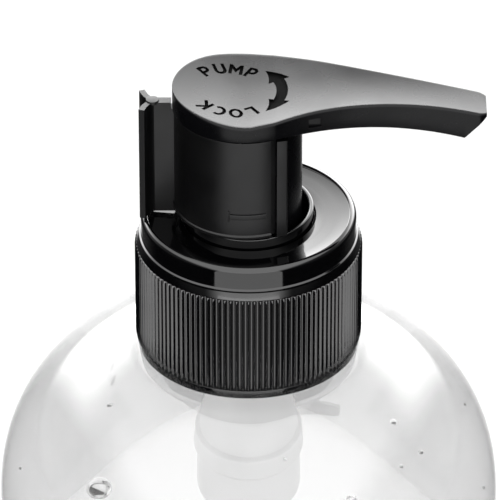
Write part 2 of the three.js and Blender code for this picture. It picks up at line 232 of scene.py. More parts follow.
# the dial's capitals in a cell 0.7 wide and 1 high, as two sets of strokes: none crosses another of its set
STROKES = {
    "P": ([[(0.12, 0), (0.12, 1)]], [[(0.15, 0.9), *arc_line(0.34, 0.67, 0.24, 0.23, 90, -90), (0.15, 0.44)]]),
    "U": ([[(0.08, 1), *arc_line(0.35, 0.35, 0.27, 0.27, 180, 360), (0.62, 1)]], []),
    "M": ([[(0.03, 0), (0.03, 1)], [(0.67, 0), (0.67, 1)]], [[(0.05, 0.92), (0.35, 0.4), (0.65, 0.92)]]),
    "L": ([[(0.14, 1), (0.14, 0.1), (0.62, 0.1)]], []),
    "O": ([arc_line(0.35, 0.5, 0.32, 0.42, 0, 360)], []),
    "C": ([arc_line(0.4, 0.5, 0.33, 0.42, 55, 305)], []),
    "K": ([[(0.1, 0), (0.1, 1)]], [[(0.64, 1), (0.2, 0.52), (0.66, 0)]]),
}


def circle(radius: float, count: int) -> np.ndarray:
    """Points round a circle about the origin."""
    angle = np.linspace(0, FULL_TURN, count, endpoint=False)
    return radius * np.column_stack([np.cos(angle), np.sin(angle)])


def ridge_height(angle: np.ndarray, height: np.ndarray, start: float, thread: Thread) -> np.ndarray:
    """How far a screw thread stands out, from 0 to 1, at each angle and height.

    The ridge's middle climbs by the pitch in a turn, its flanks slope from base_half to crest_half, and it
    sinks into the wall over the fade at each end.

    Args:
        angle: each point's angle, from 0 to a full turn.
        height: each point's height.
        start: the height of the ridge's middle where it begins, at angle 0.
        thread: the thread's sizes.

    Returns:
        The share of the full crest at each point.
    """
    turn = np.floor((height - start) / thread.pitch - angle / FULL_TURN + 0.5)
    place = turn + angle / FULL_TURN
    off = np.abs(height - start - thread.pitch * place)
    rise = np.clip((thread.base_half - off) / (thread.base_half - thread.crest_half), 0, 1)
    ends = np.clip(np.minimum(place, thread.turns - place) / thread.fade, 0, 1)
    return rise * ends


def threaded(shell: Shell, segments: int, rows: tuple[int, int], radii: tuple[float, float], start: float,
    thread: Thread) -> Shell:
    """Raises a screw thread on a turned surface, by scaling the radius of each point under the ridge.

    Args:
        shell: the turned surface.
        segments: its steps in a full turn.
        rows: the first of its profile's rows that carry the thread, and the first after them.
        radii: the wall's radius and the crest's.
        start: the height at which the ridge begins.
        thread: the thread's sizes.

    Returns:
        The surface with its thread.
    """
    points, faces = shell
    row = np.arange(len(points)) // segments
    angle = np.arctan2(points[:, 1], points[:, 0]) % FULL_TURN
    stand = ridge_height(angle, points[:, 2], start, thread) * ((row >= rows[0]) & (row < rows[1]))
    scale = 1 + stand * (radii[1] / radii[0] - 1)
    return points * np.column_stack([scale, scale, np.ones(len(points))]), faces


# ---- making Blender objects ----


def new_piece(name: str, shells: Sequence[Shell], sharp_deg: float = 35.0) -> bpy.types.Object:
    """Makes one object of closed shells, in metres, with its faces outwards.

    Args:
        name: the object's name.
        shells: points in millimetres and faces, for each shell.
        sharp_deg: the angle past which an edge stays sharp.

    Returns:
        The object, linked into the scene.
    """
    points, faces, start = [], [], 0
    for vertices, quads in shells:
        points.append(vertices)
        faces += [tuple(corner + start for corner in face) for face in quads]
        start += len(vertices)
    mesh = bpy.data.meshes.new(name)
    mesh.from_pydata((np.concatenate(points) * MM).tolist(), [], faces)
    weld(mesh)
    finish_mesh(mesh, sharp_deg)
    piece = bpy.data.objects.new(name, mesh)
    bpy.context.scene.collection.objects.link(piece)
    return piece


def weld(mesh: bpy.types.Mesh) -> None:
    """Merges points that coincide, such as a pole's, and turns every face outwards.

    Args:
        mesh: the mesh, changed in place.
    """
    work = bmesh.new()
    work.from_mesh(mesh)
    bmesh.ops.remove_doubles(work, verts=work.verts, dist=WELD_DISTANCE)
    bmesh.ops.recalc_face_normals(work, faces=work.faces)
    work.to_mesh(mesh)
    work.free()


def finish_mesh(mesh: bpy.types.Mesh, sharp_deg: float) -> None:
    """Shades a mesh smooth up to an angle."""
    mesh.shade_smooth()
    mesh.set_sharp_from_angle(angle=math.radians(sharp_deg))


def carve(piece: bpy.types.Object, cutters: Sequence[bpy.types.Object], operation: str = "DIFFERENCE") -> None:
    """Cuts other objects out of a piece, or joins them to it, and removes them.

    Args:
        piece: the piece, changed in place.
        cutters: what is cut out or joined on; its material comes along with its faces.
        operation: the kind of boolean.
    """
    for cutter in cutters:
        step = piece.modifiers.new("carve", "BOOLEAN")
        step.operation, step.object, step.solver = operation, cutter, "EXACT"
        step.material_mode = "TRANSFER"
    bpy.context.view_layer.update()
    graph = bpy.context.evaluated_depsgraph_get()
    carved = bpy.data.meshes.new_from_object(piece.evaluated_get(graph))
    piece.modifiers.clear()
    piece.data = carved
    for cutter in cutters:
        bpy.data.objects.remove(cutter)


def dress(piece: bpy.types.Object, material: bpy.types.Material) -> bpy.types.Object:
    """Gives a piece its one material."""
    piece.data.materials.append(material)
    return piece


def place(piece: bpy.types.Object, body: str, slot: str, *nodes: str) -> None:
    """Rides a piece on a body and hides the CAD nodes that it stands for.

    Args:
        piece: the piece.
        body: the body it moves with.
        slot: the finish slot's name; not used.
        nodes: the CAD nodes it replaces, if it replaces any.
    """
    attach(piece, body)
    if nodes:
        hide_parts(*nodes)
    log.info("%s rides on %s", piece.name, body)


# ---- materials ----


def linear(colour: str) -> tuple[float, float, float, float]:
    """Turns an sRGB colour into a linear one, by the standard's straight part and power part.

    Args:
        colour: the colour, as # and six hex digits.

    Returns:
        Red, green, blue, and an alpha of 1.
    """
    parts = [int(colour[n : n + 2], 16) / 255 for n in (1, 3, 5)]
    red, green, blue = (p / 12.92 if p <= 0.04045 else ((p + 0.055) / 1.055) ** 2.4 for p in parts)
    return red, green, blue, 1.0


def add_node(tree: bpy.types.NodeTree, kind: str, links: dict | None = None,
    **settings: object) -> bpy.types.Node:
    """Adds a node with its settings and what feeds its inputs.

    Args:
        tree: the tree to add it to.
        kind: the node's type.
        links: input name or number to a socket that feeds it, or to a plain value.
        settings: the node's own properties.

    Returns:
        The new node.
    """
    node = tree.nodes.new(kind)
    for key, value in settings.items():
        setattr(node, key, value)
    for key, value in (links or {}).items():
        if isinstance(value, bpy.types.NodeSocket):
            tree.links.new(value, node.inputs[key])
        else:
            node.inputs[key].default_value = value
    return node


def blank_material(name: str) -> tuple[bpy.types.Material, bpy.types.NodeTree]:
    """Makes a material with an empty node tree.

    Args:
        name: the material's name.

    Returns:
        The material and its node tree.
    """
    material = bpy.data.materials.new(name)
    material.use_nodes = True
    material.node_tree.nodes.clear()
    return material, material.node_tree


def maths(tree: bpy.types.NodeTree, operation: str, *values: bpy.types.NodeSocket | float) -> bpy.types.NodeSocket:
    """Adds a maths node and gives its result."""
    return add_node(tree, "ShaderNodeMath", dict(enumerate(values)), operation=operation).outputs[0]


def ranged(tree: bpy.types.NodeTree, value: bpy.types.NodeSocket, source: Sequence = (0.0, 1.0),
    target: Sequence = (0.0, 1.0), soft: bool = False) -> bpy.types.NodeSocket:
    """Adds a node that carries one range of values to another.

    Args:
        tree: the tree to add it to.
        value: what is carried over.
        source: the range it comes from.
        target: the range it goes to, as numbers or sockets.
        soft: whether it eases in and out.

    Returns:
        The result.
    """
    links = {"Value": value, "From Min": source[0], "From Max": source[1], "To Min": target[0], "To Max": target[1]}
    kind = "SMOOTHSTEP" if soft else "LINEAR"
    return add_node(tree, "ShaderNodeMapRange", links, interpolation_type=kind).outputs[0]


def bumps(tree: bpy.types.NodeTree, where: bpy.types.NodeSocket, size_mm: float, height_mm: float,
    detail: float = 2.0, under: bpy.types.NodeSocket | None = None) -> bpy.types.NodeSocket:
    """Adds a noise of a real size and height as relief.

    Args:
        tree: the tree to add it to.
        where: the coordinates.
        size_mm: the size of one bump.
        height_mm: how high it stands.
        detail: how many finer layers the noise has.
        under: the normal of a relief that this one lies on.

    Returns:
        The normal.
    """
    noise = add_node(tree, "ShaderNodeTexNoise", {"Vector": where, "Scale": 1 / (size_mm * MM), "Detail": detail})
    links = {"Height": noise.outputs["Fac"], "Strength": 1.0, "Distance": height_mm * MM}
    if under:
        links["Normal"] = under
    return add_node(tree, "ShaderNodeBump", links).outputs[0]


@dataclass(frozen=True)
class MouldedPlastic:
    """An opaque moulded plastic with a mould-texture grain and slow changes in its gloss.

    Polypropylene has an IOR near 1.49. Its gloss comes from the mould: a spark-eroded wall gives a fine grain
    that spreads reflections, a polished one a clear reflection with a faint ripple.
    """

    name: str
    colour: str
    roughness: float
    spread: float = 0.06
    ior: float = 1.49
    shine: float = 0.5
    grain_mm: float = 0.35
    grain_height_mm: float = 0.002
    ripple_mm: float = 9.0
    ripple_height_mm: float = 0.0
    glow: float = 0.0
    glow_mm: float = 1.2
    patch_mm: float = 7.0
    shade: float = 0.15

    def make(self) -> bpy.types.Material:
        """Builds the material.

        Returns:
            The material.
        """
        material, tree = blank_material(self.name)
        where = add_node(tree, "ShaderNodeTexCoord").outputs["Object"]
        slow = add_node(tree, "ShaderNodeTexNoise", {"Vector": where, "Scale": 1 / (self.patch_mm * MM),
            "Detail": 3.0}).outputs["Fac"]
        lowest = max(self.roughness - self.spread, 0.02)
        gloss = ranged(tree, slow, NOISE_SPAN, (lowest, self.roughness + self.spread))
        tint = add_node(tree, "ShaderNodeVectorMath", {0: linear(self.colour)[:3],
            "Scale": ranged(tree, slow, target=(1 - self.shade, 1 + self.shade))}, operation="SCALE")
        relief = bumps(tree, where, self.grain_mm, self.grain_height_mm)
        if self.ripple_height_mm:
            relief = bumps(tree, where, self.ripple_mm, self.ripple_height_mm, under=relief)
        shader = add_node(tree, "ShaderNodeBsdfPrincipled", {"Base Color": tint.outputs[0], "Roughness": gloss,
            "IOR": self.ior, "Specular IOR Level": self.shine, "Normal": relief})
        if self.glow:
            shader.inputs["Subsurface Weight"].default_value = self.glow
            shader.inputs["Subsurface Radius"].default_value = (1.0, 1.0, 1.0)
            shader.inputs["Subsurface Scale"].default_value = self.glow_mm * MM
        add_node(tree, "ShaderNodeOutputMaterial", {"Surface": shader.outputs[0]})
        return material


@dataclass(frozen=True)
class ClearMatter:
    """A clear plastic or gel, which lamps shine through so that what stands in it is lit.

    The real thing refracts a lamp's light onto what is inside. Letting lamps and diffuse rays pass straight
    through gives the same brightness without the noise of a caustic, and a ray that has bounced many times goes
    straight on too, so that no path ends in the dark inside the wall.
    """

    name: str
    colour: str
    ior: float
    ripple_mm: float = 14.0
    ripple_height_mm: float = 0.02
    bounces: float = 7.5

    def make(self) -> bpy.types.Material:
        """Builds the material.

        Returns:
            The material.
        """
        material, tree = blank_material(self.name)
        where = add_node(tree, "ShaderNodeTexCoord").outputs["Object"]
        glass = add_node(tree, "ShaderNodeBsdfPrincipled", {"Base Color": linear(self.colour), "IOR": self.ior,
            "Roughness": 0.0, "Transmission Weight": 1.0,
            "Normal": bumps(tree, where, self.ripple_mm, self.ripple_height_mm, detail=1.0)})
        clear = add_node(tree, "ShaderNodeBsdfTransparent", {"Color": linear(self.colour)})
        path = add_node(tree, "ShaderNodeLightPath").outputs
        late = maths(tree, "GREATER_THAN", path["Ray Depth"], self.bounces)
        soft = maths(tree, "MAXIMUM", path["Is Diffuse Ray"], late)
        straight = maths(tree, "MAXIMUM", path["Is Shadow Ray"], soft)
        mix = add_node(tree, "ShaderNodeMixShader", {0: straight, 1: glass.outputs[0], 2: clear.outputs[0]})
        add_node(tree, "ShaderNodeOutputMaterial", {"Surface": mix.outputs[0]})
        return material


@dataclass(frozen=True)
class BrightSteel:
    """Drawn or ground stainless steel, with fine draw lines that blur its reflection along the wire."""

    name: str
    colour: str = "#c9cacc"
    roughness: float = 0.22
    spread: float = 0.1
    line_mm: float = 0.4
    line_height_mm: float = 0.002

    def make(self) -> bpy.types.Material:
        """Builds the material.

        Returns:
            The material.
        """
        material, tree = blank_material(self.name)
        where = add_node(tree, "ShaderNodeTexCoord").outputs["Object"]
        lines = add_node(tree, "ShaderNodeTexNoise", {"Vector": where, "Scale": 1 / (self.line_mm * MM),
            "Detail": 4.0}).outputs["Fac"]
        rough = ranged(tree, lines, target=(self.roughness - self.spread, self.roughness + self.spread))
        relief = add_node(tree, "ShaderNodeBump", {"Height": lines, "Distance": self.line_height_mm * MM})
        shader = add_node(tree, "ShaderNodeBsdfPrincipled", {"Base Color": linear(self.colour), "Metallic": 1.0,
            "Roughness": rough, "Normal": relief.outputs[0]})
        add_node(tree, "ShaderNodeOutputMaterial", {"Surface": shader.outputs[0]})
        return material


class Finish(Enum):
    """The dispenser's finishes, each made once."""

    # polypropylene off a lightly spark-eroded mould: satin black, with soft grey reflections
    SATIN_BLACK = MouldedPlastic("satin_black_polypropylene", "#08080a", 0.27, shine=0.17)
    # the collar's ribs, which come off the mould a little shinier than the head
    RIBBED_BLACK = MouldedPlastic("ribbed_black_polypropylene", "#08080a", 0.16, spread=0.03, shine=0.95)
    # the clip is a thinner moulding off a coarser mould, so its highlights spread further
    MATTE_BLACK = MouldedPlastic("matte_black_polypropylene", "#0a0a0b", 0.38, shine=0.3)
    # the same plastic where the mould was polished: the collar's deck, band and the chaplet
    POLISHED_BLACK = MouldedPlastic("polished_black_polypropylene", "#050506", 0.07, spread=0.03,
        grain_height_mm=0.0008, ripple_height_mm=0.006)
    # the floor of the engraved letters, with painted shade: a darker colour, a rough finish and an IOR of 1.15 that
    # weakens its reflection, so the recesses stay dark as if shaded
    ENGRAVED_BLACK = MouldedPlastic("engraved_painted_shade_polypropylene", "#030303", 0.9, ior=1.15, grain_mm=0.2)
    # natural polypropylene: milky and a little translucent
    MILKY_PP = MouldedPlastic("natural_polypropylene", "#dddddd", 0.35, glow=0.35, ripple_height_mm=0.02)
    # polyethylene for the sliding parts: waxy and soft-looking
    WAXY_PE = MouldedPlastic("natural_polyethylene", "#eeeee8", 0.45, glow=0.6)
    # foamed polyethylene of the neck's gasket: matte with a pore texture
    FOAM = MouldedPlastic("foamed_polyethylene", "#f2f2ee", 0.9, grain_mm=0.5, grain_height_mm=0.05)
    # blown PET: clear and glossy, with the faint waves that stretch blowing leaves
    CLEAR_PET = ClearMatter("blown_pet", "#fbfbfb", 1.5)
    # thickened hand soap: clear, with hardly any colour
    SOAP_GEL = ClearMatter("clear_soap_gel", "#f6f6f6", 1.38, ripple_height_mm=0.0)
    # spring wire and the inlet ball
    STEEL = BrightSteel("drawn_stainless_steel")

    def material(self) -> bpy.types.Material:
        """The finish's material, made the first time it is asked for."""
        return bpy.data.materials.get(self.value.name) or self.value.make()


# ---- the bottle and its soap ----


@dataclass(frozen=True)
class Thread:
    """The 28 mm screw thread that the neck and the collar share."""

    pitch: float = 4.23
    turns: float = 1.5
    neck_start: float = 133.0
    neck_crest: float = 13.7
    collar_crest: float = 13.0
    base_half: float = 1.1
    crest_half: float = 0.5
    fade: float = 0.1


@dataclass
class Bottle:
    """A round blown bottle: straight body, dome shoulder and screw neck, with its soap inside."""

    radius: float = 37.0
    wall: float = 1.0
    straight_top: float = 98.0
    dome_rise: float = 29.3
    dome_end: float = 66.0
    dome_power: float = 0.87
    corner: float = 6.0
    foot_inner: float = 26.0
    push_up: float = 3.0
    shoulder_top: float = 125.3
    neck_radius: float = 12.6
    neck_bore: float = 11.0
    neck_top: float = 143.2
    segments: int = 256
    root_round: float = 0.8
    rim_round: float = 0.35
    neck_steps: int = 90
    fill: float = 138.0
    film: float = 0.02
    level: tuple[tuple[float, float], ...] = ((10.4, 138.0), (10.4, 128.2), (5.6, 126.6), (0.0, 126.5))
    large_bubbles: tuple[tuple[float, float, float, float], ...] = ((-2.45, 0.86, 110.0, 1.9),
        (-2.75, 0.8, 117.5, 0.5), (-0.45, 0.85, 112.0, 0.45), (0.05, 0.95, 111.0, 0.4), (-1.0, 0.86, 112.0, 0.8))
    small_bubbles: int = 26
    bubble_seed: int = 28
    bubble_flat: float = 0.6
    thread: Thread = field(default_factory=Thread)

    def outline(self, inset: float) -> np.ndarray:
        """The bottle's profile from the middle of its foot to the foot of its neck.

        The foot rises to its middle as a cosine. The dome is a quarter ellipse whose sine and cosine are raised to
        a power under 1, which fills it out towards a square.

        Args:
            inset: how far the profile lies inside the bottle's outside.

        Returns:
            Rows of radius and height.
        """
        reach, rise = self.radius - inset, self.dome_rise - inset
        corner = self.corner - inset
        middle = self.radius - self.corner
        turn = np.radians(np.linspace(-90, 0, 9))
        foot = np.column_stack([middle + corner * np.cos(turn), self.corner + corner * np.sin(turn)])
        climb = np.radians(np.linspace(0, self.dome_end, 40))
        out, up = np.cos(climb) ** self.dome_power, np.sin(climb) ** self.dome_power
        dome = np.column_stack([reach * out, self.straight_top + rise * up])
        inner = np.linspace(0, self.foot_inner, 12)
        lift = 0.5 + 0.5 * np.cos(math.pi * inner / self.foot_inner)
        hollow = np.column_stack([inner, inset + self.push_up * lift])
        return np.concatenate([hollow, foot, dome])

    def make_shell(self) -> bpy.types.Object:
        """The bottle's wall, with its thread raised on the neck's outer rows.

        Returns:
            The wall as one closed piece.
        """
        crown, root_top = self.shoulder_top - self.wall, self.shoulder_top + self.root_round
        rim_foot = self.neck_top - 0.4
        rows = np.linspace(root_top, rim_foot, self.neck_steps)
        outside, inside = self.outline(0.0), self.outline(self.wall)[::-1]
        root = rounded([(*outside[-1], 0), (self.neck_radius + 0.6, self.shoulder_top - 0.05, self.root_round),
            (self.neck_radius, root_top, 0)], closed=False)
        neck = np.column_stack([np.full(len(rows), self.neck_radius), rows])
        rim = rounded([(self.neck_radius, rim_foot, 0), (self.neck_radius, self.neck_top, self.rim_round),
            (self.neck_bore, self.neck_top, self.rim_round), (self.neck_bore, self.neck_top - 0.5, 0)], closed=False)
        throat = rounded([(self.neck_bore, self.neck_top - 1, 0), (self.neck_bore, crown, self.root_round),
            (*inside[0], 0)], closed=False)
        profile = np.concatenate([outside, root[1:-1], neck, rim[1:], throat[1:-1], inside])
        first = len(outside) + len(root) - 2
        shell = threaded(turned(profile, self.segments, closed=False), self.segments, (first, first + len(neck)),
            (self.neck_radius, self.thread.neck_crest), self.thread.neck_start, self.thread)
        return new_piece("bottle_shell", [shell], sharp_deg=50)

    def make_soap(self) -> bpy.types.Object:
        """The soap, up the neck as a film round the pump's cup and level below it, with air bubbles as hollows.

        Returns:
            The soap, whose skin lies a film's depth inside the wall, so that no air parts them.
        """
        wet = self.outline(self.wall - self.film)
        bore = self.neck_bore + self.film
        throat = rounded([(*wet[-1], 0), (bore, self.shoulder_top - self.wall, self.root_round),
            (bore, self.fill, 0)], closed=False)
        profile = np.concatenate([wet, throat[1:], np.array(self.level)])
        soap = new_piece("soap", [turned(profile, self.segments, closed=False)], 50)
        bubbles = new_piece("bubbles", [self.bubble(*spot) for spot in self.bubble_places()])
        work = bmesh.new()
        work.from_mesh(bubbles.data)
        bmesh.ops.reverse_faces(work, faces=work.faces)
        count = len(work.verts)
        work.from_mesh(soap.data)
        work.to_mesh(soap.data)
        work.free()
        bpy.data.objects.remove(bubbles)
        log.info("soap holds bubbles of %d points", count)
        return soap

    def bubble_places(self) -> list[tuple[float, float, float, float]]:
        """Finds the air bubbles' places: the large ones are given, and small ones are scattered.

        Returns:
            Angle, share of the radius, height and size of each bubble.
        """
        low, high = (0, 0.3, 20, 0.15), (FULL_TURN, 0.95, 112, 0.45)
        scattered = np.random.default_rng(self.bubble_seed).uniform(low, high, (self.small_bubbles, 4))
        return [*self.large_bubbles, *(tuple(row) for row in scattered.tolist())]

    def bubble(self, angle: float, share: float, height: float, size: float) -> Shell:
        """A bubble: a sphere, flattened as it presses up under the wall.

        Args:
            angle: its direction from the bottle's axis.
            share: its distance from the axis, as a share of the room there.
            height: its height.
            size: its radius.

        Returns:
            The bubble's skin.
        """
        climb = max(height - self.straight_top, 0) / self.dome_rise
        reach = (self.radius - self.wall - 0.6 - size) * share * math.sqrt(max(1 - climb**2, 0.05))
        turn = np.radians(np.linspace(-90, 90, 13))
        ball = np.column_stack([size * np.cos(turn), self.bubble_flat * size * np.sin(turn)])
        points, faces = turned(ball, 28, closed=False)
        return points + np.array([reach * math.cos(angle), reach * math.sin(angle), height]), faces

    def build(self) -> None:
        """Makes the bottle and its soap."""
        shell = dress(self.make_shell(), Finish.CLEAR_PET.material())
        place(shell, "bottle", "clear_pet", "bottle")
        soap = dress(self.make_soap(), Finish.SOAP_GEL.material())
        place(soap, "bottle", "clear_pet")


# ---- the collar ----


@dataclass
class Collar:
    """The screw collar: a ribbed skirt under a chamfer, a smooth band with a round lip, and a sunk deck."""

    bottom: float = 126.0
    skirt_radius: float = 16.3
    rib_radius: float = 16.5
    rib_depth: float = 0.55
    ribs: int = 120
    rib_bottom: float = 127.3
    rib_top: float = 142.9
    band_radius: float = 15.6
    band_bottom: float = 144.4
    lip_radius: float = 15.2
    top: float = 147.9
    deck: float = 147.5
    deck_underside: float = 146.2
    hole: float = 9.75
    bore: float = 14.1
    segments: int = 240
    bore_steps: int = 110
    thread: Thread = field(default_factory=Thread)

    def make_body(self) -> Shell:
        """The turned body, with its thread raised on the bore's rows.

        Its lip is a quarter ellipse from the band to the top, and its deck sinks a little towards the hole.

        Returns:
            The body's shell.
        """
        root = self.rib_radius - self.rib_depth - 0.25
        fall = self.band_radius - self.lip_radius + 0.45
        turn = np.radians(np.linspace(0, 90, 10))
        lip = [(self.band_radius - fall * (1 - math.cos(t)), self.top - fall * (1 - math.sin(t)), 0) for t in turn]
        outer = rounded([(self.bore, self.bottom, 0.1), (self.skirt_radius, self.bottom, 0.3),
            (self.skirt_radius, self.rib_bottom, 0.12), (root, self.rib_bottom + 0.1, 0),
            (root, self.rib_top - 0.1, 0), (self.skirt_radius, self.rib_top, 0.15),
            (self.band_radius + 0.22, self.band_bottom - 0.35, 0.12), (self.band_radius + 0.3, self.band_bottom, 0.1),
            (self.band_radius, self.band_bottom + 0.16, 0.06), *lip, (self.lip_radius - 0.55, self.deck, 0.15),
            (12.9, self.deck - 0.1, 2.0), (11.3, self.deck - 0.18, 2.0), (self.hole, self.deck - 0.24, 0.1),
            (self.hole, self.deck_underside, 0.1), (self.bore, self.deck_underside, 0.3)], steps=6)
        rows = np.linspace(self.deck_underside - 0.5, self.bottom + 0.4, self.bore_steps)
        profile = np.concatenate([outer, np.column_stack([np.full(len(rows), self.bore), rows])])
        return threaded(turned(profile, self.segments), self.segments, (len(outer), len(profile)),
            (self.bore, self.thread.collar_crest), self.thread.neck_start - self.thread.pitch / 2, self.thread)

    def make_ribs(self) -> Shell:
        """The rib band: rounded ribs that are narrower than the grooves, sunk at both ends.

        The radius is the groove's plus the depth times a power of the cosine round the skirt, and the crest drops
        to the groove over the last half millimetre.

        Returns:
            The band's shell.
        """
        angle = np.linspace(0, FULL_TURN, self.ribs * 10, endpoint=False)
        height = np.concatenate([self.rib_bottom + np.array([0, 0.12, 0.28, 0.5]),
            np.linspace(self.rib_bottom + 2, self.rib_top - 2, 5), self.rib_top - np.array([0.5, 0.28, 0.12, 0])])
        wave = 0.5 + 0.5 * np.cos(self.ribs * angle)
        end = np.minimum(height - self.rib_bottom, self.rib_top - height)
        full = np.sqrt(np.clip(1 - (1 - np.clip(end / 0.45, 0, 1)) ** 2, 0, 1))[:, None]
        radius = self.rib_radius - self.rib_depth + self.rib_depth * full * wave**1.5
        outside = polar(radius, angle, height[:, None])
        core = self.rib_radius - self.rib_depth - 0.5
        ends = np.array([[core, self.rib_top], [core, self.rib_bottom]])
        inside = polar(ends[:, :1], angle, ends[:, 1:])
        return skin(np.concatenate([outside, inside]), round_u=True, round_v=True)

    def build(self) -> None:
        """Makes the collar in its two finishes: ribs off a textured mould, the rest polished."""
        collar = new_piece("collar_closure", [self.make_body()], sharp_deg=30)
        place(dress(collar, Finish.POLISHED_BLACK.material()), "collar", "black_pp", "collar")
        ribs = new_piece("collar_rib_band", [self.make_ribs()], sharp_deg=60)
        place(dress(ribs, Finish.RIBBED_BLACK.material()), "collar", "black_pp")


# ---- the pump's engine ----


@dataclass
class Engine:
    """What the collar holds in the neck: chaplet, cylinder, gasket, dip tube, ball and spring.

    A profile gives the radius, height and rounding of each corner. The chaplet is a boss ring with the stem's guide
    at the foot of its well. The cylinder has a flange and a cup in the neck, then its barrel, a bead and the cage.
    """

    segments: int = 128
    chaplet_segments: int = 192
    chaplet: Corners = ((4.12, 129, 0.2), (9.4, 129, 0.3), (9.4, 148.85, 0.22), (8.7, 148.85, 0.3), (8.7, 131, 0.6),
        (5.1, 131, 0.2), (4.12, 130.4, 0.2))
    cylinder: Corners = ((9.7, 145.9, 0.2), (9.7, 128.7, 0.4), (4.9, 127.2, 0.3), (4.9, 96.9, 0.1),
        (2.1, 96.9, 0.1), (2.1, 96.2, 0.1), (3.3, 95.0, 0.1), (3.3, 93.0, 0.1), (1.7, 91.8, 0.1), (1.7, 90.4, 0.1),
        (2.95, 90.4, 0.1), (2.95, 84, 0.2), (4.0, 84, 0.3), (4.0, 90.3, 0.6), (4.6, 91.8, 0.6), (4.6, 95.8, 0.6),
        (5.9, 96.4, 1.4), (6.05, 99.4, 1.2), (6.05, 101.5, 0.2), (6.6, 102.1, 0.3), (6.6, 104.5, 0.3),
        (6.05, 104.9, 0.3), (6.05, 126, 1.0), (10.6, 127.5, 1.2), (10.6, 144.7, 0.3), (12.7, 144.7, 0.2),
        (12.7, 145.9, 0.2))
    gasket: Corners = ((10.8, 143.4, 0.15), (13.4, 143.4, 0.2), (13.4, 144.4, 0.2), (10.8, 144.4, 0.15))
    tube_outer: float = 2.8
    tube_inner: float = 2.0
    tube_top: float = 90.0
    tube_foot: float = 6.0
    tube_bevel: float = 3.0
    wire: float = 0.35
    coil: float = 3.75
    turns: float = 7.5
    spring_low: float = 97.55
    spring_high: float = 118.65
    end_rise: float = 0.8
    ball: float = 2.4

    def ring(self, name: str, corners: Corners, segments: int) -> bpy.types.Object:
        """A turned piece with rounded corners."""
        return new_piece(name, [turned(rounded(corners), segments)])

    def make_dip_tube(self) -> bpy.types.Object:
        """The dip tube: a straight tube whose foot is cut to a bevel, as a height that rises evenly with x.

        Returns:
            The tube.
        """
        angle = np.linspace(0, FULL_TURN, 48, endpoint=False)
        outside = [(self.tube_outer, share) for share in (0, 0.03, *np.linspace(0.1, 1, 24))]
        rows = np.array([*outside, (self.tube_inner, 1), (self.tube_inner, 0)])
        radius = rows[:, :1]
        foot = self.tube_foot + self.tube_bevel * (0.5 + 0.5 * radius * np.cos(angle) / self.tube_outer)
        height = foot + (self.tube_top - foot) * rows[:, 1:]
        return new_piece("suction_tube", [skin(polar(radius, angle, height), round_u=True, round_v=True)])

    def make_spring(self) -> bpy.types.Object:
        """The return spring: a round wire on a helix whose end turns climb only by their own thickness.

        Returns:
            The spring.
        """
        turn = np.linspace(0, self.turns, int(self.turns * 40))
        ends = np.minimum(turn, 1) + np.maximum(turn - self.turns + 1, 0)
        middle = np.clip((turn - 1) / (self.turns - 2), 0, 1)
        climb = self.spring_high - self.spring_low - 2 * self.end_rise
        height = self.spring_low + self.end_rise * ends + climb * middle
        path = polar(self.coil, FULL_TURN * turn, height)
        out = polar(1.0, FULL_TURN * turn, 0 * turn)
        upward = np.array([[0, 0, 1.0]]) + 0 * out
        return new_piece("spring_coil", [swept(path, out, upward, circle(self.wire, 12))])

    def make_ball(self) -> bpy.types.Object:
        """The inlet ball, centred where the CAD ball lies.

        Returns:
            The ball.
        """
        low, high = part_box("inlet_ball")
        middle = (low.z + high.z) / 2 / MM
        turn = np.radians(np.linspace(-90, 90, 25))
        profile = np.column_stack([self.ball * np.cos(turn), middle + self.ball * np.sin(turn)])
        return new_piece("valve_ball", [turned(profile, 48, closed=False)])

    def build(self) -> None:
        """Makes the engine's pieces."""
        chaplet = self.ring("chaplet_ring", self.chaplet, self.chaplet_segments)
        made = ((chaplet, Finish.POLISHED_BLACK, "black_gloss", "chaplet"),
            (self.ring("pump_cylinder", self.cylinder, self.segments), Finish.MILKY_PP, "milky_pp", "housing"),
            (self.make_dip_tube(), Finish.MILKY_PP, "milky_pp", "dip_tube"),
            (self.ring("neck_washer", self.gasket, self.segments), Finish.FOAM, "gasket_foam", "neck_gasket"),
            (self.make_spring(), Finish.STEEL, "steel", "return_spring"))
        for piece, finish, slot, node in made:
            place(dress(piece, finish.material()), "engine", slot, node)
        place(dress(self.make_ball(), Finish.STEEL.material()), "inlet_ball", "steel", "inlet_ball")


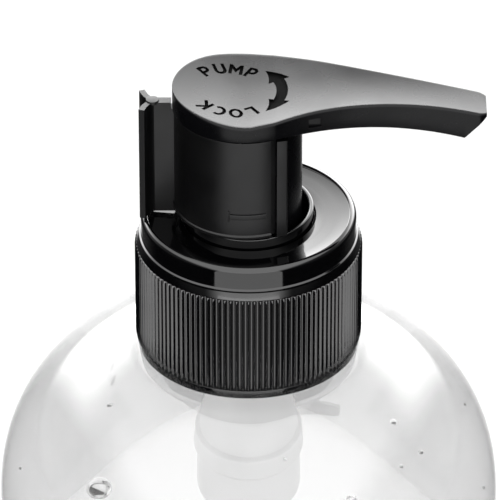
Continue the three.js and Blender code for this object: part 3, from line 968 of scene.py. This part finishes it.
@dataclass
class Plunger:
    """The sliding parts in the barrel: a piston with two sealing lips, the rod that plugs it, and the stem's tube.

    A profile gives the radius, height and rounding of each corner.
    """

    segments: int = 96
    piston: Corners = ((2.75, 121.6, 0.1), (4.32, 121.6, 0.1), (4.82, 121.9, 0.15), (4.82, 122.5, 0.15),
        (4.3, 122.9, 0.2), (4.3, 124.7, 0.2), (4.82, 125.3, 0.15), (4.82, 125.8, 0.1), (4.22, 126, 0.1),
        (2.75, 126, 0.1))
    rod: Corners = ((0, 117, 0), (2.3, 117, 0.2), (2.7, 117.5, 0.2), (2.7, 119.3, 0.1), (4.1, 119.3, 0.15),
        (4.1, 120.5, 0.15), (2.5, 120.9, 0.2), (2.5, 126, 0.1), (2.0, 126.3, 0.1), (2.0, 134, 0.3), (0, 134.6, 0))
    stem: Corners = ((2.2, 126.9, 0.1), (3.7, 126.9, 0.1), (4.0, 127.3, 0.2), (4.0, 165.5, 0.2), (3.6, 166, 0.2),
        (2.2, 166, 0.1))

    def build(self) -> None:
        """Makes the piston, the rod and the stem."""
        made = (("piston_seal", self.piston, True, Finish.WAXY_PE, "piston", "milky_pe", "piston"),
            ("valve_rod", self.rod, False, Finish.WAXY_PE, "rod", "milky_pe", "piston_rod"),
            ("stem_tube", self.stem, True, Finish.MILKY_PP, "head", "milky_pp", "stem"))
        for name, corners, hollow, finish, body, slot, node in made:
            shell = turned(rounded(corners, closed=hollow), self.segments, hollow)
            place(dress(new_piece(name, [shell]), finish.material()), body, slot, node)


# ---- the head ----


@dataclass
class Head:
    """The actuator: a dished round cap that runs into a drooping spout, on a sleeve."""

    centre: float = -0.55
    radius: float = 10.35
    top: float = 169.1
    bottom: float = 165.7
    edge: float = 0.4
    sag: float = 0.9
    sag_width: float = 6.0
    bowl: float = 0.42
    skin: float = 1.2
    sleeve_radius: float = 7.7
    sleeve_bore: float = 6.5
    sleeve_bottom: float = 147.2
    hub_radius: float = 5.4
    hub_bottom: float = 157.0
    stem_top: float = 166.0
    root: float = 3.6
    tip: float = 33.9
    tip_half: float = 3.2
    taper: float = 2.11
    snub: float = 1.3
    top_start: float = 9.0
    top_arc: float = 97.6
    under_start: float = 7.0
    under_arc: float = 80.0
    channel: float = 1.2
    cut: tuple[tuple[float, float], ...] = ((30.5, 162.0), (33.9, 165.5))
    dial_centre: tuple[float, float] = (-2.45, 0.1)
    dial_radius: float = 5.9
    arrow_radius: float = 7.25
    letter_height: float = 2.4
    stroke: float = 0.5
    recess: float = 0.3
    letter_step: float = 2.35
    words: tuple[tuple[str, float], ...] = (("PUMP", 95.0), ("LOCK", -95.0))
    arrow_reach_deg: float = 48.0
    arrow_neck_deg: float = 21.0
    arrow_head: float = 1.6
    arrow_shaft: float = 0.82
    foot_edge: float = 0.3
    riser: float = 2.2
    moat_gap: float = 0.9
    moat_depth: float = 1.6
    mark: tuple[tuple[float, float], ...] = ((8.5, -9.0), (10.3, -9.0), (10.3, -6.6), (8.5, -6.95))
    mark_rise: tuple[float, float] = (0.9, 2.3)
    socket_bore: float = 4.15

    def half_width(self, x: np.ndarray) -> np.ndarray:
        """Half the head's width: a circle about the cap's centre, then a taper that ends in a blunt tip.

        Args:
            x: stations along the head.

        Returns:
            The half-width at each station: the circle's, then the tip's plus a power of what is left of the way.
        """
        cap = np.sqrt(np.maximum(self.radius**2 - (x - self.centre) ** 2, 0))
        start = math.sqrt(self.radius**2 - (self.root - self.centre) ** 2)
        left = np.clip(1 - (x - self.root) / (self.tip - self.root), 0, 1)
        snub = np.sqrt(1 - 0.35 * np.clip((x - self.tip) / self.snub + 1, 0, 1) ** 2)
        return np.where(x < self.root, cap, (self.tip_half + (start - self.tip_half) * left**self.taper) * snub)

    def top_line(self, x: np.ndarray) -> np.ndarray:
        """The top: level with a dish for the finger, then an arc down to the tip."""
        sag = self.sag * np.exp(-((x / self.sag_width) ** 2))
        return self.top - sag - np.maximum(x - self.top_start, 0) ** 2 / (2 * self.top_arc)

    def hollow(self, x: np.ndarray, y: np.ndarray) -> np.ndarray:
        """How far the top lies under its rim: a parabola across the cap that fades along the spout.

        Args:
            x: places along the head.
            y: places across it.

        Returns:
            The depth at each place.
        """
        share = np.clip(1 - (x - self.root) / (self.tip - self.root), 0, 1) ** 1.5
        bowl = 1 - np.clip(np.abs(y) / np.maximum(self.half_width(x), 0.1), 0, 1) ** 2
        rear = 1 - np.clip((self.centre - x) / self.radius, 0, 1) ** 2
        return self.bowl * (0.15 + 0.85 * share) * bowl * rear

    def under_line(self, x: np.ndarray) -> np.ndarray:
        """The underside: level, then an arc that follows the top."""
        return self.bottom - np.maximum(x - self.under_start, 0) ** 2 / (2 * self.under_arc)

    def make_body(self) -> bpy.types.Object:
        """The solid cap and spout: a ring across each station, with arcs for its upper and lower edges.

        Returns:
            The solid, before its hollows are cut.
        """
        rear = self.centre - self.radius * np.cos(np.radians(np.linspace(0, 95, 56)))
        rear = rear[rear < self.root - 0.1]
        x = np.concatenate([rear, np.linspace(self.root, self.tip - self.snub, 60, endpoint=False),
            self.tip - self.snub * np.cos(np.radians(np.linspace(0, 90, 9)))])
        half = np.maximum(self.half_width(x), 0.02)[:, None]
        top, under = self.top_line(x)[:, None], self.under_line(x)[:, None]
        large, small = np.minimum(self.edge, 0.7 * half), np.minimum(self.foot_edge, 0.3 * half)
        turn = np.radians(np.linspace(0, 90, 9))[None]
        foot = np.radians(np.linspace(-90, 0, 4))[None]
        across = np.concatenate([half - small + small * np.cos(foot), half - large + large * np.cos(turn)], 1)
        height = np.concatenate([under + small + small * np.sin(foot), top - large + large * np.sin(turn)], 1)
        inward = np.linspace(1, 0, 24)[None, 1:]
        flat = across[:, -1:] * inward
        bowl = self.hollow(x[:, None], flat) - self.hollow(x[:, None], across[:, -1:])
        across, height = np.concatenate([across, flat], 1), np.concatenate([height, top - bowl], 1)
        floor = across[:, :1] * np.linspace(0, 1, 6)[None, :-1]
        across, height = np.concatenate([floor, across], 1), np.concatenate([under + 0 * floor, height], 1)
        y = np.concatenate([across, -across[:, -2:0:-1]], 1)
        z = np.concatenate([height, height[:, -2:0:-1]], 1)
        grid = np.stack([np.broadcast_to(x[:, None], y.shape), y, z], -1)
        return new_piece("actuator", [capped(grid)])

    def hollow_cutters(self) -> list[bpy.types.Object]:
        """What is cut from the cap.

        Returns:
            The passage to the spout's mouth, its riser, the moat round the sleeve, the slanted tip, and the shallow
            mould mark on the spout's side.
        """
        foot, lip = self.cut
        path = bend(np.array([0, 0, self.stem_top + 0.2]), np.array([self.tip / 2, 0, self.top - 1.6]),
            np.array([self.tip + 1, 0, foot[1] + 1.9]), 40)
        along = headings(path)
        across = np.array([[0.0, 1.0, 0.0]]) + 0 * along
        passage = swept(path, across, np.cross(along, across), circle(self.channel, 24))
        low, high = self.stem_top - 3, self.stem_top + 1.2
        riser = turned(np.array([[0, low], [self.riser, low], [self.riser, high], [0, high]]), 48, closed=False)
        near, far = self.sleeve_radius + self.moat_gap, self.radius - self.skin
        low, high = self.bottom - 1, self.bottom + self.moat_depth
        points, faces = turned(np.array([[near, low], [far, low], [far, high], [near, high]]), 96)
        moat = points + np.array([self.centre, 0, 0]), faces
        beyond = np.array([foot, lip, (lip[0] + 9, lip[1]), (lip[0] + 9, foot[1] - 6), (foot[0] - 6, foot[1] - 6)])
        slant = capped(np.array([np.column_stack([beyond[:, 0], np.full(5, y), beyond[:, 1]]) for y in (-9, 9)]))
        mark = prism(np.array(self.mark), *(self.bottom + rise for rise in self.mark_rise))
        return [new_piece(f"cut_{n}", [shell]) for n, shell in enumerate((passage, riser, moat, slant, mark))]

    def make_sleeve(self) -> Shell:
        """The sleeve that hides the stem, with the stem's socket as a hub inside it.

        Returns:
            The sleeve's shell.
        """
        ceiling = self.bottom + 0.3
        profile = rounded([(self.sleeve_radius, ceiling, 0), (self.sleeve_radius, self.sleeve_bottom, 0.3),
            (self.sleeve_bore, self.sleeve_bottom, 0.3), (self.sleeve_bore, ceiling - 0.3, 0.3),
            (self.hub_radius, ceiling - 0.3, 0.3), (self.hub_radius, self.hub_bottom, 0.3),
            (self.socket_bore, self.hub_bottom, 0.2), (self.socket_bore, ceiling + 0.3, 0)])
        return turned(profile, 160)

    def letters(self, stage: int) -> bpy.types.Object:
        """One set of the words' strokes on the dial, with their tops outwards.

        Args:
            stage: which set of strokes.

        Returns:
            The strokes as one cutter.
        """
        pitch = math.degrees(self.letter_step / self.dial_radius)
        shells = []
        for word, middle_deg in self.words:
            for n, letter in enumerate(word):
                angle = math.radians(middle_deg + pitch * ((len(word) - 1) / 2 - n))
                spin = angle - math.pi / 2
                turn = np.array([[math.cos(spin), math.sin(spin)], [-math.sin(spin), math.cos(spin)]])
                middle = np.array(self.dial_centre) + self.dial_radius * np.array([math.cos(angle), math.sin(angle)])
                for line in STROKES[letter][stage]:
                    points = (np.array(line) - (0.35, 0.5)) * self.letter_height @ turn + middle
                    shells.append(self.engraving(*ribbon(points, self.stroke / 2)))
        log.info("stroke set %d holds %d strokes", stage, len(shells))
        return dress(new_piece("letters", shells), Finish.ENGRAVED_BLACK.material())

    def engraving(self, left: np.ndarray, right: np.ndarray) -> Shell:
        """A strip between two edges as a cutter whose floor follows the top at an even depth.

        Args:
            left: points of one edge, seen from above.
            right: points of the other edge.

        Returns:
            The cutter's shell.
        """
        loop = np.allclose(left[0], left[-1])
        edges = [edge[:-1] if loop else edge for edge in (left, right)]
        floors = [self.top_line(e[:, 0]) - self.hollow(*e.T) - self.recess for e in edges]
        lid = np.full(len(edges[0]), self.top + 0.5)
        rings = [(edges[0], floors[0]), (edges[1], floors[1]), (edges[1], lid), (edges[0], lid)]
        grid = np.stack([np.column_stack(ring) for ring in rings], 1)
        return skin(grid, round_u=True, round_v=True) if loop else capped(grid)

    def arrow(self) -> bpy.types.Object:
        """The turn arrow: an arc with a head at each end, as half-widths that follow the angle.

        Returns:
            The arrow as a cutter.
        """
        reach, neck = math.radians(self.arrow_reach_deg), math.radians(self.arrow_neck_deg)
        heads, shaft = np.linspace(-reach, -neck, 10), np.linspace(-neck, neck, 16)
        barb = self.arrow_head * (heads + reach) / (reach - neck)
        angle = np.concatenate([heads, shaft, -heads[::-1]])
        width = np.concatenate([barb, np.full(len(shaft), self.arrow_shaft), barb[::-1]])
        width = np.maximum(width, 0.02)
        turn = np.column_stack([np.cos(angle), np.sin(angle)])
        edges = [(self.arrow_radius + side * width)[:, None] * turn + self.dial_centre for side in (1, -1)]
        return dress(new_piece("arrow", [self.engraving(*edges)]), Finish.ENGRAVED_BLACK.material())

    def build(self) -> None:
        """Makes the head, cuts its hollows and engraves its dial."""
        head = dress(self.make_body(), Finish.SATIN_BLACK.material())
        carve(head, self.hollow_cutters())
        sleeve = new_piece("sleeve", [self.make_sleeve()])
        carve(head, [dress(sleeve, Finish.SATIN_BLACK.material())], "UNION")
        # the letters and arrow carry their finish into the cuts, which paints shade on the recess floors
        carve(head, [self.letters(0), self.letters(1), self.arrow()])
        finish_mesh(head.data, 32)
        place(head, "head", "black_pp", "actuator_head")


# ---- the lock clip ----


@dataclass
class LockClip:
    """The C-shaped clip that blocks the stroke, with a web and a forked finger pull."""

    x: float = -0.6
    y: float = 0.45
    outer: float = 10.1
    inner: float = 9.0
    bottom: float = 149.2
    top: float = 165.35
    opening: float = 53.0
    groove: tuple[float, float] = (68.0, 64.0)
    web_bottom: float = 148.0
    web_half: float = 0.72
    web_end: float = -13.0
    crest_start: float = -10.45
    crest_rise: float = 1.0
    arm_thick: float = 0.85
    arm_reach: float = 2.7
    arm_length: float = 1.65
    rim: float = 0.22
    rim_height: float = 0.45
    strip: Corners = ((4.6, -9.08, 0.1), (6.16, -8.72, 0.22), (6.1, -7.75, 0.1), (4.6, -8.0, 0))
    groove_depth: float = 0.55
    pad_radius: float = 0.95
    pad_rise: float = 0.15
    bar: tuple[float, float, float, float] = (-101.5, -72.5, 152.6, 153.35)
    tick: tuple[float, float, float, float] = (-103.2, -102.4, 152.1, 153.9)
    bar_rise: float = 0.26

    def make_sleeve(self) -> Shell:
        """The C sleeve: a wall with a small rim at its foot, from the opening round to the groove.

        Returns:
            The sleeve's shell.
        """
        rim = self.outer + self.rim
        return carried([(self.inner, self.bottom, 0.15), (rim, self.bottom, 0.12),
            (rim, self.bottom + self.rim_height, 0.12), (self.outer, self.bottom + self.rim_height + 0.15, 0.1),
            (self.outer, self.top, 0.18), (self.inner, self.top, 0.18)], self.opening, 360 - self.groove[0], 220)

    def make_strip(self) -> list[Shell]:
        """The flat strip that ends the sleeve in front of the spout, behind a narrow groove.

        Returns:
            The groove's floor and the strip.
        """
        arc = np.radians(np.linspace(-self.groove[0] - 1, -self.groove[1] + 2, 5))
        turn = np.column_stack([np.cos(arc), np.sin(arc)])
        floor = np.concatenate([(self.outer - self.groove_depth) * turn, self.inner * turn[::-1]])
        return [prism(floor, self.bottom, self.top - 0.1),
            prism(rounded(self.strip), self.bottom - 0.2, self.top - 0.35)]

    def make_arm(self, side: int) -> Shell:
        """A finger arm: a strip that curls out from the web's end, as a curve with an even thickness.

        Args:
            side: 1 for the arm to the back, -1 for the one to the front.

        Returns:
            The arm's shell.
        """
        line = bend(*(np.array(p) for p in ((self.web_end + 0.4, side * 0.2), (self.web_end - 1.0, side * 0.4),
            (self.web_end - self.arm_length, side * self.arm_reach))), 16)
        along = headings(line)
        normal = np.column_stack([-along[:, 1], along[:, 0]]) * self.arm_thick / 2
        outline = np.concatenate([line + normal, (line - normal)[::-1]])
        return prism(outline, self.web_bottom, self.top + self.crest_rise)

    def front_bar(self) -> list[Shell]:
        """The raised bar and tick on the sleeve's front: small curved pads that stand a little proud.

        Returns:
            One shell for each.
        """
        near, far = self.outer - 0.2, self.outer + self.bar_rise
        return [carried([(near, low, 0), (far, low, 0.08), (far, high, 0.08), (near, high, 0)], first, last, 24)
            for first, last, low, high in (self.bar, self.tick)]

    def build(self) -> None:
        """Makes the clip from its sleeve, web, arms and the pad at their fork."""
        crest, wall = self.top + self.crest_rise, -self.outer + 0.4
        web = np.array([[self.web_end, self.web_bottom], [wall, self.web_bottom], [wall, self.top],
            [self.crest_start, self.top], [self.crest_start, crest], [self.web_end, crest]])
        plate = capped(np.array([np.column_stack([web[:, 0], np.full(len(web), y), web[:, 1]])
            for y in (-self.web_half, self.web_half)]))
        low, high = crest - 0.3, crest + self.pad_rise
        points, faces = turned(rounded([(0, low, 0), (self.pad_radius, low, 0), (self.pad_radius, high, 0.08),
            (0, high, 0)], closed=False), 32, closed=False)
        pad = points + np.array([self.web_end - 0.1, 0, 0]), faces
        shells = [self.make_sleeve(), *self.make_strip(), plate, self.make_arm(1), self.make_arm(-1), pad,
            *self.front_bar()]
        moved = [(points + np.array([self.x, self.y, 0]), faces) for points, faces in shells]
        clip = new_piece("stroke_clip", moved)
        place(dress(clip, Finish.MATTE_BLACK.material()), "clip", "black_clip", "lock_clip")


# ---- the studio ----


@dataclass
class Studio:
    """A pale floor, soft light from above and behind, and a long lens looking down at the pump."""

    elevation_deg: float = 33.58
    distance: float = 800.0
    aim: tuple[float, float, float] = (0.21, 0.0, 140.99)
    lens: float = 397.2
    sensor: float = 36.0
    sight: tuple[float, float] = (50.0, 20000.0)
    floor_half: float = 2500.0
    floor_colour: str = "#f6f6f6"
    card_middle: tuple[float, float, float] = (0.0, -330.0, 30.0)
    card_size: tuple[float, float] = (420.0, 330.0)
    card_strength: float = 2.2
    white: float = 1.12
    tent_glow: float = 3.6
    tent_depths: tuple[float, float] = (0.0, 0.5)
    wall_heights: tuple[float, float] = (0.38, 0.66)
    wall_glow: tuple[float, float] = (11.0, 2.4)
    flag_lean: float = 0.45
    flag_edges: tuple[float, float] = (0.3, 0.65)
    flag_glow: float = 0.05
    sweep_depths: tuple[float, float] = (0.3, 0.75)
    sweep_glow: tuple[float, float] = (0.03, 1.6)
    horizon: tuple[float, float] = (-0.02, 0.1)

    def make_camera(self) -> None:
        """The camera, which stands in front of the dispenser and looks down at the collar."""
        data = bpy.data.cameras.new("camera")
        data.lens, data.sensor_width = self.lens, self.sensor
        data.clip_start, data.clip_end = (MM * reach for reach in self.sight)
        camera = bpy.data.objects.new("camera", data)
        bpy.context.scene.collection.objects.link(camera)
        rise = math.radians(self.elevation_deg)
        camera.location = [MM * v for v in (self.aim[0], self.aim[1] - self.distance * math.cos(rise),
            self.aim[2] + self.distance * math.sin(rise))]
        camera.rotation_euler = (math.pi / 2 - rise, 0, 0)
        bpy.context.scene.camera = camera

    def make_floor(self) -> None:
        """A wide pale floor."""
        half = self.floor_half
        corners = np.array([[[-half, -half, 0], [half, -half, 0]], [[-half, half, 0], [half, half, 0]]])
        floor = new_piece("floor", [skin(corners)])
        if floor.data.polygons[0].normal.z < 0:
            floor.data.flip_normals()
        material, tree = blank_material("pale_floor")
        shader = add_node(tree, "ShaderNodeBsdfPrincipled", {"Base Color": linear(self.floor_colour),
            "Roughness": 0.8})
        add_node(tree, "ShaderNodeOutputMaterial", {"Surface": shader.outputs[0]})
        dress(floor, material)
        floor.visible_glossy = False

    def make_card(self) -> None:
        """The white card before the pump: a rectangular light, turned to the aim, that only reflections see.

        Its power is its radiance times pi times its area.
        """
        data = bpy.data.lights.new("front_card", "AREA")
        data.shape, data.size, data.size_y = "RECTANGLE", self.card_size[0] * MM, self.card_size[1] * MM
        data.energy = self.card_strength * math.pi * data.size * data.size_y
        lamp = bpy.data.objects.new("front_card", data)
        bpy.context.scene.collection.objects.link(lamp)
        lamp.location = [MM * v for v in self.card_middle]
        way = np.array(self.aim) - np.array(self.card_middle)
        flat = math.hypot(way[0], way[1])
        lamp.rotation_euler = (math.atan2(flat, -way[2]), 0, math.atan2(way[1], way[0]) - math.pi / 2)
        lamp.visible_camera = lamp.visible_diffuse = lamp.visible_transmission = False

    def make_world(self) -> None:
        """White all round for sight and for diffuse light; for reflections, dark below and bright behind.

        A reflection sees a tent whose back wall is brightest low down, black flags at both sides that stand wider
        apart higher up, and below the horizon a sweep that is bright only at the back.
        """
        world = bpy.data.worlds.new("studio")
        bpy.context.scene.world = world
        world.use_nodes = True
        tree = world.node_tree
        tree.nodes.clear()
        way = add_node(tree, "ShaderNodeTexCoord").outputs["Generated"]
        east, north, up = add_node(tree, "ShaderNodeSeparateXYZ", {0: way}).outputs
        wall = ranged(tree, up, self.wall_heights, self.wall_glow, soft=True)
        back = ranged(tree, north, self.tent_depths, soft=True)
        tent = ranged(tree, back, target=(self.tent_glow, wall))
        spread = maths(tree, "MULTIPLY_ADD", up, -self.flag_lean, maths(tree, "ABSOLUTE", east))
        flags = ranged(tree, spread, self.flag_edges, (1.0, self.flag_glow), soft=True)
        behind = ranged(tree, north, self.sweep_depths, self.sweep_glow, soft=True)
        above = ranged(tree, up, self.horizon, soft=True)
        glow = ranged(tree, above, target=(maths(tree, "MULTIPLY", behind, flags),
            maths(tree, "MULTIPLY", tent, flags)))
        path = add_node(tree, "ShaderNodeLightPath").outputs
        bounced = maths(tree, "SUBTRACT", path["Is Glossy Ray"], path["Is Transmission Ray"])
        bounced.node.use_clamp = True
        plain, mirror = (add_node(tree, "ShaderNodeBackground", {"Color": linear("#ffffff"), "Strength": strength})
            for strength in (self.white, glow))
        mix = add_node(tree, "ShaderNodeMixShader", {0: bounced, 1: plain.outputs[0], 2: mirror.outputs[0]})
        add_node(tree, "ShaderNodeOutputWorld", {"Surface": mix.outputs[0]})

    def build(self) -> None:
        """Sets up the floor, the world and the card."""
        bpy.context.scene.view_settings.view_transform = "Standard"
        self.make_floor()
        self.make_world()
        self.make_card()


def main() -> None:
    """Builds the dispenser round the frame, in order."""
    logging.basicConfig(level=logging.INFO, format="%(name)s: %(message)s")
    studio = Studio()
    studio.make_camera()
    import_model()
    studio.build()
    for part in (Bottle(), Collar(), Engine(), Plunger(), Head(), LockClip()):
        part.build()


if __name__ == "__main__":
    main()
